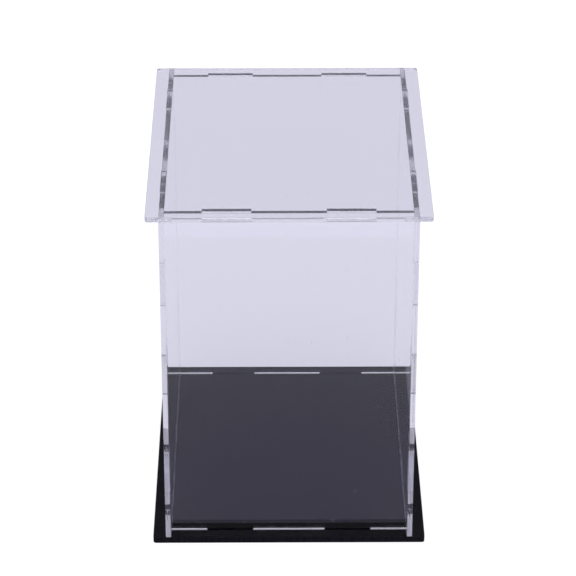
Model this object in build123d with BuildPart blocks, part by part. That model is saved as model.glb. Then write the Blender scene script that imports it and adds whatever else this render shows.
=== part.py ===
"""Acrylic display case, flat-packed: six laser-cut sheets that lock together with tabs and slots.

A black base plate carries a hood of four clear walls, and a clear top plate closes it as a lid.
The origin is the centre of the base plate's underside, +Z is up and the front faces -Y.
"""

import os

from build123d import *

# Driving dimensions, in millimetres.
SHEET = 3.0  # thickness of the clear sheets
BASE_SHEET = 4.0  # thickness of the black base plate
PLATE_WIDTH = 160.0  # base and top plate along X
PLATE_DEPTH = 200.0  # base and top plate along Y
PLATE_CORNER = 1.8  # radius of the plates' corners
CLEAR_HEIGHT = 209.0  # from the base plate's top to the top plate's underside
OVERHANG = 7.5  # of the plates past the outer faces of the walls
TAB = 27.3  # length of every tab
SLOT_PLAY = 0.1  # gap between a tab and its slot, on each side
SIDE_TAB_INSET = 31.0  # from a side panel's front or back edge to its nearest plate tab
LOCK_TAB_SPACING = 125.4  # from centre to centre of the lock tabs on one edge of an end panel

# Worked out from them.
SIDE_OUTER = PLATE_WIDTH / 2 - OVERHANG  # X of the right panel's outer face
SIDE_INNER = SIDE_OUTER - SHEET
END_OUTER = PLATE_DEPTH / 2 - OVERHANG  # Y of the back panel's outer face
END_INNER = END_OUTER - SHEET
SIDE_MIDDLE_SPACING = SIDE_OUTER + SIDE_INNER  # between the middles of the two side panels
END_MIDDLE_SPACING = END_OUTER + END_INNER
SIDE_TAB_SPACING = PLATE_DEPTH - 2 * SIDE_TAB_INSET - TAB
END_TAB_SPACING = SIDE_INNER  # tabs at the quarter points of a front or back panel's width
SLOT_LENGTH = TAB + 2 * SLOT_PLAY
SLOT_WIDTH = SHEET + 2 * SLOT_PLAY
TOP_PLATE_Z = BASE_SHEET + CLEAR_HEIGHT
WALL_MIDDLE_Z = BASE_SHEET + CLEAR_HEIGHT / 2


def draw_plate():
    """Draws the base or top plate: rounded corners and a slot for each of the walls' eight tabs."""
    RectangleRounded(PLATE_WIDTH, PLATE_DEPTH, PLATE_CORNER)
    with GridLocations(END_TAB_SPACING, END_MIDDLE_SPACING, 2, 2):
        Rectangle(SLOT_LENGTH, SLOT_WIDTH, mode=Mode.SUBTRACT)
    with GridLocations(SIDE_MIDDLE_SPACING, SIDE_TAB_SPACING, 2, 2):
        Rectangle(SLOT_WIDTH, SLOT_LENGTH, mode=Mode.SUBTRACT)


def draw_plate_tabs(spacing):
    """Draws a wall's plate tabs: two above it for the top plate and two below it for the base."""
    with Locations((-spacing / 2, CLEAR_HEIGHT / 2), (spacing / 2, CLEAR_HEIGHT / 2)):
        Rectangle(TAB, SHEET, align=(Align.CENTER, Align.MIN))
    with Locations((-spacing / 2, -CLEAR_HEIGHT / 2), (spacing / 2, -CLEAR_HEIGHT / 2)):
        Rectangle(TAB, BASE_SHEET, align=(Align.CENTER, Align.MAX))


def draw_end_panel():
    """Draws the front or back panel: plate tabs above and below, and lock tabs on both sides."""
    Rectangle(2 * SIDE_INNER, CLEAR_HEIGHT)
    draw_plate_tabs(END_TAB_SPACING)
    with GridLocations(SIDE_MIDDLE_SPACING, LOCK_TAB_SPACING, 2, 2):
        Rectangle(SHEET, TAB)


def draw_side_panel():
    """Draws a side panel: plate tabs above and below, and a closed slot for each lock tab."""
    Rectangle(PLATE_DEPTH, CLEAR_HEIGHT)
    draw_plate_tabs(SIDE_TAB_SPACING)
    with GridLocations(END_MIDDLE_SPACING, LOCK_TAB_SPACING, 2, 2):
        Rectangle(SLOT_WIDTH, SLOT_LENGTH, mode=Mode.SUBTRACT)


# Each wall is drawn upright on the plane of its face that has the lower Y or X, centred on its height.
end_plane = Plane((0, 0, WALL_MIDDLE_Z), x_dir=(-1, 0, 0), z_dir=(0, 1, 0))
side_plane = Plane((0, 0, WALL_MIDDLE_Z), x_dir=(0, 1, 0), z_dir=(1, 0, 0))

with BuildPart() as base_plate:
    with BuildSketch(Plane.XY):
        draw_plate()
    extrude(amount=BASE_SHEET)
base_plate.part.label = "base_plate"

with BuildPart() as front_panel:
    with BuildSketch(end_plane.offset(-END_OUTER)):
        draw_end_panel()
    extrude(amount=SHEET)
front_panel.part.label = "front_panel"

with BuildPart() as back_panel:
    with BuildSketch(end_plane.offset(END_INNER)):
        draw_end_panel()
    extrude(amount=SHEET)
back_panel.part.label = "back_panel"

with BuildPart() as left_panel:
    with BuildSketch(side_plane.offset(-SIDE_OUTER)):
        draw_side_panel()
    extrude(amount=SHEET)
left_panel.part.label = "left_panel"

with BuildPart() as right_panel:
    with BuildSketch(side_plane.offset(SIDE_INNER)):
        draw_side_panel()
    extrude(amount=SHEET)
right_panel.part.label = "right_panel"

with BuildPart() as top_plate:
    with BuildSketch(Plane.XY.offset(TOP_PLATE_Z)):
        draw_plate()
    extrude(amount=SHEET)
top_plate.part.label = "top_plate"

os.makedirs("parts", exist_ok=True)
for piece in (base_plate, front_panel, back_panel, left_panel, right_panel, top_plate):
    export_step(piece.part, f"parts/{piece.part.label}.step")
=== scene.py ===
"""A flat-packed acrylic display case: four clear walls and a clear lid locked onto a black base plate.

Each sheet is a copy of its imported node, with rounded rims and a hair of air where it rests on another
sheet. Its faces are polished, and the laser has left fine lines across the thickness of its cut edges.
"""

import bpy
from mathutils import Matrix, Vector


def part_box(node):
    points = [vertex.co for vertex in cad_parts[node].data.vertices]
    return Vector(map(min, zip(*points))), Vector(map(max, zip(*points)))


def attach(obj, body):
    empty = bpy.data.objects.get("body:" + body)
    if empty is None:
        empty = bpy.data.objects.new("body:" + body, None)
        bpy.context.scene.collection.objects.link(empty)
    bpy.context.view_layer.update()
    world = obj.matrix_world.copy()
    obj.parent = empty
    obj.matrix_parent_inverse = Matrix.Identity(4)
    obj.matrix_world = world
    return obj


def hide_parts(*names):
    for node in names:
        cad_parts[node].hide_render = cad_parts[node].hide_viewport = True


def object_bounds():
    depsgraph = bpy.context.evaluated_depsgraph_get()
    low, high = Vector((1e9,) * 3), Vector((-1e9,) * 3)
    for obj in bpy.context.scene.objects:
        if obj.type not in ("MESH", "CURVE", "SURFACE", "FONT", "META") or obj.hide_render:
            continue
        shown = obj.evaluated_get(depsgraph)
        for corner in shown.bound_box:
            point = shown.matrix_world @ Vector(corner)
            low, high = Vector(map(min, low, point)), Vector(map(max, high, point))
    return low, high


bl_info = {
    "name": "Acrylic Display Case",
    "version": (1, 0, 0),
    "blender": (4, 5, 0),
    "location": "3D View > Sidebar > Display Case",
    "description": "Builds a tab-and-slot acrylic display case and a plain studio stage",
    "category": "Add Mesh",
}

import math

import bmesh
import bpy
from mathutils import Matrix, Vector

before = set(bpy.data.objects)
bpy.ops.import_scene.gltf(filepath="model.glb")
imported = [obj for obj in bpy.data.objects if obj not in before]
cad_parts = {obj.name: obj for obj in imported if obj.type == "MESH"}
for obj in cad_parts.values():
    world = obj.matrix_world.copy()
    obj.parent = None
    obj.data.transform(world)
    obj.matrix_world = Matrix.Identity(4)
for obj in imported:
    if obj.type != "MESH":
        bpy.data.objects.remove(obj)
CAD_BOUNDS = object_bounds()
BLACK = (0.0, 0.0, 0.0, 1.0)
WHITE = (1.0, 1.0, 1.0, 1.0)

# Shaping the sheets.
MERGE_DISTANCE = 1e-6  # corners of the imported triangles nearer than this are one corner
SEAT_REACH = 1e-5  # corners nearer than this to a seat's plane rest on it
FLAT_ANGLE = math.radians(1.0)  # packed triangles that meet at less than this become one face
RIM_ANGLE = math.radians(40.0)  # edges that turn by more than this get a rounded rim
FLAT = 0.001  # a cut edge's normal leans towards the sheet's own by less than this

# Wear, cut marks and a painted glint line.
SCRATCH_START = 0.78  # noise at which a scratch begins to show
SCRATCH_FULL = 0.9  # noise at which it is at its roughest
SPECK_COVER = 0.5  # share of the black that a speck of dust hides
GLINT_SPOT_START = 0.3  # noise at which the painted glint line along the foot of the side panels begins to thicken
GLINT_SPOT_FULL = 0.7  # noise at which it is at its thickest
GLINT_SPOT_LEAST = 0.3  # share of the painted glint that is left between its brighter spots
FINE_LINES = 0.6  # share of the narrow laser lines in the height of a cut edge
COARSE_LINES = 0.9  # share of the broad ones
COARSE_PITCH = 5.0  # pitch of the broad lines, in pitches of the narrow ones
LINE_MEAN = (FINE_LINES + COARSE_LINES) / 2  # mean height of the lines, if both noises average a half

# Studio light, in degrees above the horizon.
HORIZON_FULL = 7.0  # the horizon light is full up to here
HORIZON_END = 16.0  # and gone from here up
OVERHEAD_START = 45.0  # the overhead light begins here
OVERHEAD_FULL = 65.0  # and is full from here up

# Camera and light paths.
SENSOR_WIDTH = 36.0  # millimetres
CLEAR_BOUNCES = 128  # light is guided a long way inside the clear sheets
GLOSSY_BOUNCES = 64


# Settings


class DisplayCaseSheets(bpy.types.PropertyGroup):
    """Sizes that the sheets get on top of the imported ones."""

    rim: bpy.props.FloatProperty(
        name="Rim",
        description="Radius of the rounded rims of the base plate and the top plate",
        default=0.00016,
        min=0.00001,
        unit="LENGTH",
        precision=5,
    )
    wall_rim: bpy.props.FloatProperty(
        name="Wall Rim",
        description="Radius of the rounded rims of the four walls",
        default=0.0002,
        min=0.00001,
        unit="LENGTH",
        precision=5,
    )
    rim_segments: bpy.props.IntProperty(
        name="Rim Segments", description="Flat steps across a rounded rim", default=3, min=1, max=8
    )
    air_gap: bpy.props.FloatProperty(
        name="Air Gap",
        description="Air left where one sheet rests on another, which keeps their surfaces apart",
        default=0.00005,
        min=0.0,
        unit="LENGTH",
        precision=5,
    )


class DisplayCaseFinish(bpy.types.PropertyGroup):
    """Colours, wear and cut marks of the acrylic, and the painted glint line on the base plate."""

    index: bpy.props.FloatProperty(
        name="Refractive Index", description="Of acrylic", default=1.49, min=1.0, max=2.0
    )
    clear: bpy.props.FloatVectorProperty(
        name="Clear",
        description="Colour of the clear sheets",
        default=(1.0, 1.0, 1.0),
        size=3,
        min=0.0,
        max=1.0,
        subtype="COLOR",
    )
    clear_cut: bpy.props.FloatVectorProperty(
        name="Clear Cut",
        description="Colour of the clear sheets' cut edges",
        default=(0.97, 0.97, 0.97),
        size=3,
        min=0.0,
        max=1.0,
        subtype="COLOR",
    )
    haze: bpy.props.FloatVectorProperty(
        name="Haze",
        description="Colour of the laser's haze and the settled dust on clear cut edges",
        default=(0.82, 0.81, 0.95),
        size=3,
        min=0.0,
        max=1.0,
        subtype="COLOR",
    )
    haze_amount: bpy.props.FloatProperty(
        name="Haze Amount",
        description="Mean share of a clear cut edge that is haze",
        default=0.04,
        min=0.0,
        max=1.0,
        subtype="FACTOR",
    )
    settled_dust: bpy.props.FloatProperty(
        name="Settled Dust",
        description="Further share that dust covers where a cut edge faces up",
        default=0.05,
        min=0.0,
        max=1.0,
        subtype="FACTOR",
    )
    black: bpy.props.FloatVectorProperty(
        name="Black",
        description="Colour of the base plate's faces",
        default=(0.004, 0.004, 0.005),
        size=3,
        min=0.0,
        max=1.0,
        subtype="COLOR",
    )
    black_cut: bpy.props.FloatVectorProperty(
        name="Black Cut",
        description="Colour of the base plate's cut edges",
        default=(0.007, 0.006, 0.008),
        size=3,
        min=0.0,
        max=1.0,
        subtype="COLOR",
    )
    black_shine: bpy.props.FloatProperty(
        name="Black Shine",
        description="Specular level of the base plate",
        default=0.09,
        min=0.0,
        max=1.0,
        subtype="FACTOR",
    )
    black_roughness: bpy.props.FloatProperty(
        name="Black Roughness",
        description="Roughness of the base plate's faces",
        default=0.03,
        min=0.0,
        max=1.0,
        subtype="FACTOR",
    )
    black_cut_roughness: bpy.props.FloatProperty(
        name="Black Cut Roughness",
        description="Mean roughness of the base plate's cut edges",
        default=0.3,
        min=0.0,
        max=1.0,
        subtype="FACTOR",
    )
    cut_roughness: bpy.props.FloatProperty(
        name="Cut Roughness",
        description="Mean roughness of the clear sheets' cut edges",
        default=0.06,
        min=0.0,
        max=1.0,
        subtype="FACTOR",
    )
    cut_pitch: bpy.props.FloatProperty(
        name="Cut Line Pitch",
        description="Distance between the lines that the laser leaves across a cut edge",
        default=0.0004,
        min=0.00001,
        unit="LENGTH",
        precision=5,
    )
    cut_depth: bpy.props.FloatProperty(
        name="Cut Line Depth",
        description="Depth of the lines on a cut edge",
        default=0.000002,
        min=0.0,
        unit="LENGTH",
        precision=6,
    )
    scratch_length: bpy.props.FloatProperty(
        name="Scratch Length",
        description="Spacing of hairline scratches along their length",
        default=0.05,
        min=0.001,
        unit="LENGTH",
    )
    scratch_width: bpy.props.FloatProperty(
        name="Scratch Width",
        description="Spacing of hairline scratches across their length",
        default=0.0003,
        min=0.00001,
        unit="LENGTH",
        precision=5,
    )
    scratch_roughness: bpy.props.FloatProperty(
        name="Scratch Roughness",
        description="Roughness in the middle of a scratch",
        default=0.02,
        min=0.0,
        max=1.0,
        subtype="FACTOR",
    )
    dust_spacing: bpy.props.FloatProperty(
        name="Dust Spacing",
        description="Mean distance between specks of dust",
        default=0.013,
        min=0.001,
        unit="LENGTH",
    )
    dust_size: bpy.props.FloatProperty(
        name="Dust Size",
        description="Radius of the largest specks of dust",
        default=0.0002,
        min=0.0,
        unit="LENGTH",
        precision=5,
    )
    dust: bpy.props.FloatVectorProperty(
        name="Dust",
        description="Colour of the dust",
        default=(0.42, 0.41, 0.44),
        size=3,
        min=0.0,
        max=1.0,
        subtype="COLOR",
    )
    # Painted glint: a lighter, broken line on the black base plate along the inner foot of each side panel.
    # It stands in for the glint of the panels' bottom edges. The next three settings give its colour, its
    # width and the spacing of its brighter spots.
    painted_foot_glint: bpy.props.FloatVectorProperty(
        name="Painted Foot Glint",
        description="Colour of the dust caught on the base plate along the foot of the side panels",
        default=(0.09, 0.086, 0.103),
        size=3,
        min=0.0,
        max=1.0,
        subtype="COLOR",
    )
    painted_foot_glint_width: bpy.props.FloatProperty(
        name="Painted Foot Glint Width",
        description="Width of that line of dust",
        default=0.0004,
        min=0.0,
        unit="LENGTH",
        precision=5,
    )
    painted_foot_glint_spacing: bpy.props.FloatProperty(
        name="Painted Foot Glint Spacing",
        description="Distance between the denser stretches of that line",
        default=0.006,
        min=0.0001,
        unit="LENGTH",
        precision=5,
    )


class DisplayCaseStage(bpy.types.PropertyGroup):
    """Sizes, light and camera of the studio stage, with the painted shade and painted shadow on its floor.
    """

    floor_size: bpy.props.FloatProperty(
        name="Floor Size",
        description="Side of the square floor",
        default=12.0,
        min=1.0,
        unit="LENGTH",
    )
    floor_drop: bpy.props.FloatProperty(
        name="Floor Drop",
        description="How far the floor lies below the base plate's underside",
        default=0.0001,
        min=0.0,
        unit="LENGTH",
        precision=5,
    )
    floor_seen: bpy.props.FloatVectorProperty(
        name="Floor, Seen",
        description="Glow of the floor where the camera looks straight at it",
        default=(0.88, 0.88, 0.88),
        size=3,
        min=0.0,
        subtype="COLOR",
    )
    floor_glow: bpy.props.FloatVectorProperty(
        name="Floor, Glow",
        description="Glow of the floor through and in the acrylic",
        default=(0.54, 0.53, 0.63),
        size=3,
        min=0.0,
        subtype="COLOR",
    )
    floor_grey: bpy.props.FloatProperty(
        name="Floor Grey", description="Reflectance of the floor", default=0.2, min=0.0, max=1.0
    )
    # Painted shade: a darker, bluer glow of the floor just in front of the case, seen only in and through
    # the acrylic.
    painted_front_shade: bpy.props.FloatVectorProperty(
        name="Floor, Front",
        description="Glow of the floor just in front of the case, in the acrylic",
        default=(0.32, 0.295, 0.49),
        size=3,
        min=0.0,
        subtype="COLOR",
    )
    # The next three settings place and size that painted shade in front of the case.
    front_place: bpy.props.FloatProperty(
        name="Front Place",
        description="How far in front of the case that glow is centred",
        default=0.06,
        unit="LENGTH",
    )
    front_inner: bpy.props.FloatProperty(
        name="Front Inner",
        description="Radius within which that glow is even",
        default=0.03,
        unit="LENGTH",
    )
    front_outer: bpy.props.FloatProperty(
        name="Front Outer",
        description="Radius at which the floor has its full glow again",
        default=0.22,
        unit="LENGTH",
    )
    shadow_half_width: bpy.props.FloatProperty(
        name="Shadow Half Width",
        description="Half the width of the unlit floor under the middle of the base plate",
        default=0.064,
        unit="LENGTH",
    )
    horizon_light: bpy.props.FloatVectorProperty(
        name="Horizon Light",
        description="Light from the walls of the studio, level with the case",
        default=(0.72, 0.71, 0.85),
        size=3,
        min=0.0,
        subtype="COLOR",
    )
    wall_light: bpy.props.FloatVectorProperty(
        name="Wall Light",
        description="Light from higher up on the walls of the studio",
        default=(0.34, 0.335, 0.40),
        size=3,
        min=0.0,
        subtype="COLOR",
    )
    overhead_light: bpy.props.FloatVectorProperty(
        name="Overhead Light",
        description="Light from above",
        default=(2.2, 2.2, 2.6),
        size=3,
        min=0.0,
        subtype="COLOR",
    )
    lens: bpy.props.FloatProperty(
        name="Lens", description="Focal length in millimetres", default=171.82, min=10.0
    )
    distance: bpy.props.FloatProperty(
        name="Camera Distance",
        description="From the camera to the point it looks at",
        default=1.6534,
        min=0.1,
        unit="LENGTH",
    )
    elevation: bpy.props.FloatProperty(
        name="Camera Elevation",
        description="Angle of the camera above the horizon",
        default=math.radians(28.859),
        subtype="ANGLE",
    )
    turn: bpy.props.FloatProperty(
        name="Camera Turn",
        description="Angle of the camera round the case, from straight in front",
        default=math.radians(-0.379),
        subtype="ANGLE",
    )
    roll: bpy.props.FloatProperty(
        name="Camera Roll",
        description="Turn of the camera about its own line of sight",
        default=math.radians(0.032),
        subtype="ANGLE",
    )
    aim_height: bpy.props.FloatProperty(
        name="Aim Height",
        description="Height of the point on the case's axis that the camera looks at",
        default=0.1164,
        unit="LENGTH",
    )


# Shader nodes


class Value:
    """A shader socket with arithmetic. Each operation adds one Math node."""

    def __init__(self, shader, socket):
        self.shader = shader
        self.socket = socket

    def math(self, operation, *values):
        return self.shader.node("ShaderNodeMath", {"operation": operation}, dict(enumerate(values)))[0]

    def __add__(self, other):
        return self.math("ADD", self, other)

    def __sub__(self, other):
        return self.math("SUBTRACT", self, other)

    def __rsub__(self, other):
        return self.math("SUBTRACT", other, self)

    def __mul__(self, other):
        return self.math("MULTIPLY", self, other)

    def __lt__(self, other):
        return self.math("LESS_THAN", self, other)

    def __gt__(self, other):
        return self.math("GREATER_THAN", self, other)

    def size(self):
        return self.math("ABSOLUTE", self)

    __radd__ = __add__
    __rmul__ = __mul__


class Shader:
    """Adds nodes to one node tree."""

    def __init__(self, tree):
        self.tree = tree
        tree.nodes.clear()

    def node(self, kind, settings=None, inputs=None):
        """Adds a node: its settings come first, then the values or links of its input sockets."""
        made = self.tree.nodes.new(kind)
        for name, value in (settings or {}).items():
            setattr(made, name, value)
        for name, value in (inputs or {}).items():
            if isinstance(value, Value):
                self.tree.links.new(value.socket, made.inputs[name])
            else:
                made.inputs[name].default_value = value
        return [Value(self, socket) for socket in made.outputs]

    def mix_colour(self, factor, first, second):
        return self.node("ShaderNodeMix", {"data_type": "RGBA"}, {0: factor, 6: first, 7: second})[2]

    def ramp(self, value, start, end, at_start, at_end):
        """A smooth change from at_start to at_end as value goes from start to end."""
        return self.node(
            "ShaderNodeMapRange",
            {"interpolation_type": "SMOOTHSTEP"},
            {0: value, 1: start, 2: end, 3: at_start, 4: at_end},
        )[0]


def new_material(name):
    """Makes an empty material and returns it with its shader."""
    material = bpy.data.materials.new(name)
    material.use_nodes = True
    return material, Shader(material.node_tree)


def opaque(colour):
    return (*colour, 1.0)


# Patterns


def sheet_place(shader, thin):
    """Place on a sheet's face, in metres: the two coordinates across its thin axis."""
    place = shader.node("ShaderNodeTexCoord")[3]
    parts = shader.node("ShaderNodeSeparateXYZ", {}, {0: place})
    across = [parts[axis] for axis in range(3) if axis != thin]
    return shader.node("ShaderNodeCombineXYZ", {}, {0: across[0], 1: across[1]})[0]


def hairlines(shader, place, finish):
    """Mask of hairline scratches that run three ways."""
    total = 0.0
    for turn, start in ((0.4, 0.0), (1.5, 3.3), (2.5, 7.1)):
        stretched = shader.node(
            "ShaderNodeMapping",
            {},
            {
                "Vector": place,
                "Location": (start, start, 0.0),
                "Rotation": (0.0, 0.0, turn),
                "Scale": (1.0 / finish.scratch_length, 1.0 / finish.scratch_width, 1.0),
            },
        )[0]
        noise = shader.node(
            "ShaderNodeTexNoise",
            {"noise_dimensions": "2D"},
            {"Vector": stretched, "Scale": 1.0, "Detail": 0.0},
        )[0]
        total = total + shader.ramp(noise, SCRATCH_START, SCRATCH_FULL, 0.0, 1.0)
    return total


def dust_specks(shader, place, finish):
    """Mask of specks of dust, each with its own size."""
    cells = shader.node(
        "ShaderNodeTexVoronoi",
        {"voronoi_dimensions": "2D", "feature": "F1"},
        {"Vector": place, "Scale": 1.0 / finish.dust_spacing},
    )
    chance = shader.node("ShaderNodeSeparateColor", {}, {0: cells[1]})[0]
    return cells[0] < chance * chance * chance * (finish.dust_size / finish.dust_spacing)


def painted_foot_glint(shader, place, finish):
    """Mask of the broken painted glint line on the base plate, along the foot of each side panel: a lighter
    line that stands in for a glint.
    """
    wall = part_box("right_panel")[0].x
    across = shader.node("ShaderNodeSeparateXYZ", {}, {0: place})[0].size()
    glint_spots = shader.node(
        "ShaderNodeTexNoise",
        {"noise_dimensions": "2D"},
        {"Vector": place, "Scale": 1.0 / finish.painted_foot_glint_spacing},
    )[0]
    beside_wall = (across < wall) * (across > wall - finish.painted_foot_glint_width)
    return beside_wall * shader.ramp(glint_spots, GLINT_SPOT_START, GLINT_SPOT_FULL, GLINT_SPOT_LEAST, 1.0)


def cut_lines(shader, thin, finish):
    """Height of the laser's lines: it changes along a cut edge and not across the sheet's thickness."""
    place = shader.node("ShaderNodeTexCoord")[3]
    along = [0.0 if axis == thin else 1.0 for axis in range(3)]
    flat = shader.node("ShaderNodeVectorMath", {"operation": "MULTIPLY"}, {0: place, 1: along})[0]
    fine = shader.node(
        "ShaderNodeTexNoise", {}, {"Vector": flat, "Scale": 1.0 / finish.cut_pitch, "Detail": 1.0}
    )[0]
    coarse = shader.node(
        "ShaderNodeTexNoise",
        {},
        {"Vector": flat, "Scale": 1.0 / (COARSE_PITCH * finish.cut_pitch), "Detail": 0.0},
    )[0]
    return fine * FINE_LINES + coarse * COARSE_LINES


# Materials


def clear_face(name, thin, finish):
    """Polished clear acrylic with hairline scratches and a little dust."""
    material, shader = new_material(name)
    place = sheet_place(shader, thin)
    acrylic = shader.node(
        "ShaderNodeBsdfPrincipled",
        {},
        {
            "Base Color": opaque(finish.clear),
            "Roughness": hairlines(shader, place, finish) * finish.scratch_roughness,
            "IOR": finish.index,
            "Transmission Weight": 1.0,
        },
    )[0]
    dust = shader.node("ShaderNodeBsdfDiffuse", {}, {"Color": opaque(finish.dust)})[0]
    specks = dust_specks(shader, place, finish)
    surface = shader.node("ShaderNodeMixShader", {}, {0: specks, 1: acrylic, 2: dust})[0]
    shader.node("ShaderNodeOutputMaterial", {}, {"Surface": surface})
    return material


def clear_cut(name, thin, finish):
    """Laser-cut edge of clear acrylic, with a faint haze, and dust where it faces up."""
    material, shader = new_material(name)
    lines = cut_lines(shader, thin, finish)
    acrylic = shader.node(
        "ShaderNodeBsdfPrincipled",
        {},
        {
            "Base Color": opaque(finish.clear_cut),
            "Roughness": lines * (finish.cut_roughness / LINE_MEAN),
            "Normal": shader.node("ShaderNodeBump", {}, {"Distance": finish.cut_depth, "Height": lines})[0],
            "IOR": finish.index,
            "Transmission Weight": 1.0,
        },
    )[0]
    haze = shader.node("ShaderNodeBsdfDiffuse", {}, {"Color": opaque(finish.haze)})[0]
    upward = shader.node("ShaderNodeSeparateXYZ", {}, {0: shader.node("ShaderNodeNewGeometry")[1]})[2]
    dust = upward.math("MAXIMUM", upward, 0.0) * finish.settled_dust
    share = lines * (finish.haze_amount / LINE_MEAN) + dust
    surface = shader.node("ShaderNodeMixShader", {}, {0: share, 1: acrylic, 2: haze})[0]
    shader.node("ShaderNodeOutputMaterial", {}, {"Surface": surface})
    return material


def black_face(name, thin, finish):
    """Black gloss acrylic with hairline scratches, a little dust and a painted glint line along the foot of
    each side panel.
    """
    material, shader = new_material(name)
    place = sheet_place(shader, thin)
    scratches = hairlines(shader, place, finish)
    specks = dust_specks(shader, place, finish)
    speckled = shader.mix_colour(specks * SPECK_COVER, opaque(finish.black), opaque(finish.dust))
    # The lighter line along the foot of the side panels is a painted glint, mixed over the dust specks.
    dust_and_painted_glint = shader.mix_colour(painted_foot_glint(shader, place, finish), speckled, opaque(finish.painted_foot_glint))
    surface = shader.node(
        "ShaderNodeBsdfPrincipled",
        {},
        {
            "Base Color": dust_and_painted_glint,
            "Roughness": scratches * finish.scratch_roughness + finish.black_roughness,
            "IOR": finish.index,
            "Specular IOR Level": finish.black_shine,
        },
    )[0]
    shader.node("ShaderNodeOutputMaterial", {}, {"Surface": surface})
    return material


def black_cut(name, thin, finish):
    """Laser-cut edge of black acrylic, duller than its faces."""
    material, shader = new_material(name)
    lines = cut_lines(shader, thin, finish)
    surface = shader.node(
        "ShaderNodeBsdfPrincipled",
        {},
        {
            "Base Color": opaque(finish.black_cut),
            "Roughness": lines * (finish.black_cut_roughness / LINE_MEAN),
            "Normal": shader.node("ShaderNodeBump", {}, {"Distance": finish.cut_depth, "Height": lines})[0],
            "IOR": finish.index,
            "Specular IOR Level": finish.black_shine,
        },
    )[0]
    shader.node("ShaderNodeOutputMaterial", {}, {"Surface": surface})
    return material


# Sheets


def seat_planes():
    """The planes where walls rest on other sheets: axis, place and which way a wall draws back."""
    return {
        "base": (2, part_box("base_plate")[1].z, 1.0),
        "lid": (2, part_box("top_plate")[0].z, -1.0),
        "right": (0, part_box("right_panel")[0].x, -1.0),
        "left": (0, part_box("left_panel")[1].x, 1.0),
    }


def thin_axis(node):
    """Axis across a sheet's thickness."""
    low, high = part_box(node)
    size = high - low
    return min(range(3), key=lambda axis: size[axis])


def add_sheet(node, body, rim, seats, face_finish, cut_finish):
    """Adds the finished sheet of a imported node: merged, drawn back from its seats, with rounded rims."""
    sheets = bpy.context.scene.display_case_sheets
    finish = bpy.context.scene.display_case_finish
    thin = thin_axis(node)
    shape = bmesh.new()
    shape.from_mesh(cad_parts[node].data)
    bmesh.ops.remove_doubles(shape, verts=shape.verts, dist=MERGE_DISTANCE)
    bmesh.ops.dissolve_limit(shape, angle_limit=FLAT_ANGLE, verts=shape.verts, edges=shape.edges)
    planes = seat_planes()
    for seat in seats:
        axis, place, way = planes[seat]
        resting = [v for v in shape.verts if abs(v.co[axis] - place) < SEAT_REACH]
        shift = Vector((0.0, 0.0, 0.0))
        shift[axis] = way * sheets.air_gap
        bmesh.ops.translate(shape, verts=resting, vec=shift)
    rims = [e for e in shape.edges if e.calc_face_angle() > RIM_ANGLE]
    bmesh.ops.bevel(
        shape,
        geom=rims,
        offset=rim,
        offset_type="OFFSET",
        affect="EDGES",
        segments=sheets.rim_segments,
        profile=0.5,
        material=-1,
        clamp_overlap=True,
    )
    for face in shape.faces:
        face.material_index = 1 if abs(face.normal[thin]) < FLAT else 0
    name = f"{node}_sheet"
    mesh = bpy.data.meshes.new(name)
    shape.to_mesh(mesh)
    shape.free()
    mesh.materials.append(face_finish(f"{name}_face", thin, finish))
    mesh.materials.append(cut_finish(f"{name}_cut", thin, finish))
    piece = bpy.data.objects.new(name, mesh)
    bpy.context.scene.collection.objects.link(piece)
    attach(piece, body)
    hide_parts(node)
    return piece


class DISPLAYCASE_OT_base_plate(bpy.types.Operator):
    """Add the black base plate"""

    bl_idname = "display_case.base_plate"
    bl_label = "Base Plate"

    def execute(self, context):
        sheets = context.scene.display_case_sheets
        add_sheet("base_plate", "base", sheets.rim, (), black_face, black_cut)
        return {"FINISHED"}


class DISPLAYCASE_OT_end_panels(bpy.types.Operator):
    """Add the clear front and back panels"""

    bl_idname = "display_case.end_panels"
    bl_label = "End Panels"

    def execute(self, context):
        sheets = context.scene.display_case_sheets
        seats = ("base", "lid", "left", "right")
        for node in ("front_panel", "back_panel"):
            add_sheet(node, "hood", sheets.wall_rim, seats, clear_face, clear_cut)
        return {"FINISHED"}


class DISPLAYCASE_OT_side_panels(bpy.types.Operator):
    """Add the clear left and right panels"""

    bl_idname = "display_case.side_panels"
    bl_label = "Side Panels"

    def execute(self, context):
        sheets = context.scene.display_case_sheets
        seats = ("base", "lid")
        for node in ("left_panel", "right_panel"):
            add_sheet(node, "hood", sheets.wall_rim, seats, clear_face, clear_cut)
        return {"FINISHED"}


class DISPLAYCASE_OT_top_plate(bpy.types.Operator):
    """Add the clear top plate"""

    bl_idname = "display_case.top_plate"
    bl_label = "Top Plate"

    def execute(self, context):
        sheets = context.scene.display_case_sheets
        add_sheet("top_plate", "lid", sheets.rim, (), clear_face, clear_cut)
        return {"FINISHED"}


# Stage


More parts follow.
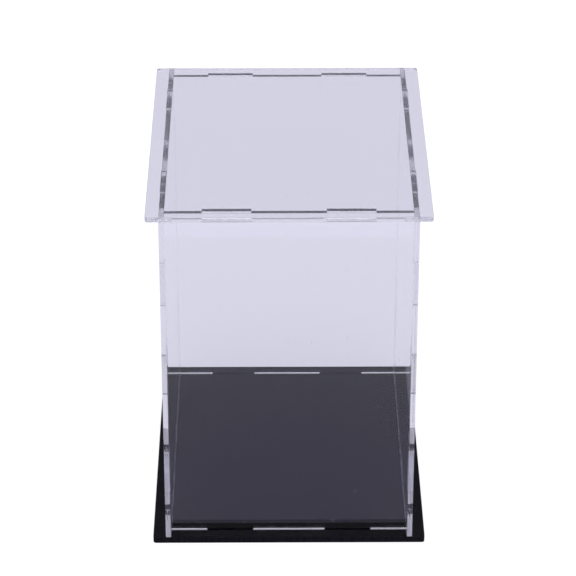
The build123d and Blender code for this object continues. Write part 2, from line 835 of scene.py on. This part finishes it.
def add_floor(stage):
    """Adds the pale floor. It is white to the camera and tinted through and in the acrylic.

    A painted shade, a darker and bluer glow, lies on the floor just in front of the case where the acrylic
    shows it, and a painted shadow leaves the floor unlit under the middle of the base plate.
    """
    shape = bmesh.new()
    bmesh.ops.create_grid(shape, x_segments=1, y_segments=1, size=stage.floor_size / 2)
    bmesh.ops.translate(shape, verts=shape.verts, vec=(0.0, 0.0, -stage.floor_drop))
    mesh = bpy.data.meshes.new("studio_floor")
    shape.to_mesh(mesh)
    shape.free()
    floor = bpy.data.objects.new("studio_floor", mesh)
    bpy.context.scene.collection.objects.link(floor)

    material, shader = new_material("studio_floor")
    place = shader.node("ShaderNodeTexCoord")[3]
    front = CAD_BOUNDS[0][1]
    away = shader.node(
        "ShaderNodeVectorMath",
        {"operation": "DISTANCE"},
        {0: place, 1: (0.0, front - stage.front_place, -stage.floor_drop)},
    )[1]
    width, depth = shader.node("ShaderNodeSeparateXYZ", {}, {0: place})[:2]
    covered = (width.size() < CAD_BOUNDS[1][0]) * (depth.size() < CAD_BOUNDS[1][1])
    # Painted shade: the floor's glow is darker and bluer just in front of the case, outside the base
    # plate's outline.
    painted_shade_share = shader.ramp(away, stage.front_inner, stage.front_outer, 1.0, 0.0) * (1.0 - covered)
    glow_with_painted_shade = shader.mix_colour(painted_shade_share, opaque(stage.floor_glow), opaque(stage.painted_front_shade))
    # Painted shadow: the floor gives no glow under the middle of the base plate.
    shadow = covered * (width.size() < stage.shadow_half_width)
    glow = shader.mix_colour(shadow, glow_with_painted_shade, BLACK)
    seen = shader.node("ShaderNodeLightPath")[0]
    colour = shader.mix_colour(seen, glow, opaque(stage.floor_seen))
    emission = shader.node("ShaderNodeEmission", {}, {"Color": colour})[0]
    diffuse = shader.node("ShaderNodeBsdfDiffuse", {}, {"Color": opaque([stage.floor_grey] * 3)})[0]
    surface = shader.node("ShaderNodeAddShader", {}, {0: emission, 1: diffuse})[0]
    shader.node("ShaderNodeOutputMaterial", {}, {"Surface": surface})
    mesh.materials.append(material)


def height_at(degrees):
    """Height on a ball of radius one, at an angle above the horizon."""
    return math.sin(math.radians(degrees))


def add_studio_light(stage):
    """Lights the scene from a plain studio: bright level with the case and overhead, dimmer between."""
    world = bpy.data.worlds.new("studio_light")
    world.use_nodes = True
    bpy.context.scene.world = world
    shader = Shader(world.node_tree)
    direction = shader.node("ShaderNodeTexCoord")[0]
    height = shader.node("ShaderNodeSeparateXYZ", {}, {0: direction})[2]
    horizon = shader.ramp(height, height_at(HORIZON_FULL), height_at(HORIZON_END), 1.0, 0.0)
    overhead = shader.ramp(height, height_at(OVERHEAD_START), height_at(OVERHEAD_FULL), 0.0, 1.0)
    walls = shader.mix_colour(horizon, opaque(stage.wall_light), opaque(stage.horizon_light))
    lit = shader.mix_colour(overhead, walls, opaque(stage.overhead_light))
    seen = shader.node("ShaderNodeLightPath")[0]
    colour = shader.mix_colour(seen, lit, WHITE)
    background = shader.node("ShaderNodeBackground", {}, {"Color": colour, "Strength": 1.0})[0]
    shader.node("ShaderNodeOutputWorld", {}, {"Surface": background})


def add_camera(stage):
    """Adds the camera, in front of the case and looking down at it."""
    data = bpy.data.cameras.new("studio_camera")
    data.lens = stage.lens
    data.sensor_width = SENSOR_WIDTH
    camera = bpy.data.objects.new("studio_camera", data)
    bpy.context.scene.collection.objects.link(camera)
    camera.matrix_world = (
        Matrix.Translation((0.0, 0.0, stage.aim_height))
        @ Matrix.Rotation(stage.turn, 4, "Z")
        @ Matrix.Rotation(math.pi / 2 - stage.elevation, 4, "X")
        @ Matrix.Rotation(stage.roll, 4, "Z")
        @ Matrix.Translation((0.0, 0.0, stage.distance))
    )
    bpy.context.scene.camera = camera


class DISPLAYCASE_OT_stage(bpy.types.Operator):
    """Add the floor, the studio light and the camera"""

    bl_idname = "display_case.stage"
    bl_label = "Stage"

    def execute(self, context):
        scene = context.scene
        stage = scene.display_case_stage
        add_floor(stage)
        add_studio_light(stage)
        add_camera(stage)
        scene.view_settings.view_transform = "Standard"
        scene.cycles.max_bounces = CLEAR_BOUNCES
        scene.cycles.transmission_bounces = CLEAR_BOUNCES
        scene.cycles.glossy_bounces = GLOSSY_BOUNCES
        return {"FINISHED"}


class DISPLAYCASE_PT_tools(bpy.types.Panel):
    """Lists the case's pieces, its settings and the stage"""

    bl_label = "Display Case"
    bl_space_type = "VIEW_3D"
    bl_region_type = "UI"
    bl_category = "Display Case"

    def draw(self, context):
        layout = self.layout
        for operator in OPERATORS:
            layout.operator(operator.bl_idname)
        for settings in (
            context.scene.display_case_sheets,
            context.scene.display_case_finish,
            context.scene.display_case_stage,
        ):
            box = layout.box()
            for name in settings.bl_rna.properties.keys():
                if name not in ("rna_type", "name"):
                    box.prop(settings, name)


OPERATORS = (
    DISPLAYCASE_OT_base_plate,
    DISPLAYCASE_OT_end_panels,
    DISPLAYCASE_OT_side_panels,
    DISPLAYCASE_OT_top_plate,
    DISPLAYCASE_OT_stage,
)
GROUPS = (DisplayCaseSheets, DisplayCaseFinish, DisplayCaseStage)
CLASSES = (*GROUPS, *OPERATORS, DISPLAYCASE_PT_tools)


def register():
    for cls in CLASSES:
        bpy.utils.register_class(cls)
    bpy.types.Scene.display_case_sheets = bpy.props.PointerProperty(type=DisplayCaseSheets)
    bpy.types.Scene.display_case_finish = bpy.props.PointerProperty(type=DisplayCaseFinish)
    bpy.types.Scene.display_case_stage = bpy.props.PointerProperty(type=DisplayCaseStage)


def unregister():
    del bpy.types.Scene.display_case_stage
    del bpy.types.Scene.display_case_finish
    del bpy.types.Scene.display_case_sheets
    for cls in reversed(CLASSES):
        bpy.utils.unregister_class(cls)


def main():
    register()
    bpy.ops.display_case.base_plate()
    bpy.ops.display_case.end_panels()
    bpy.ops.display_case.side_panels()
    bpy.ops.display_case.top_plate()
    bpy.ops.display_case.stage()


if __name__ == "__main__":
    main()
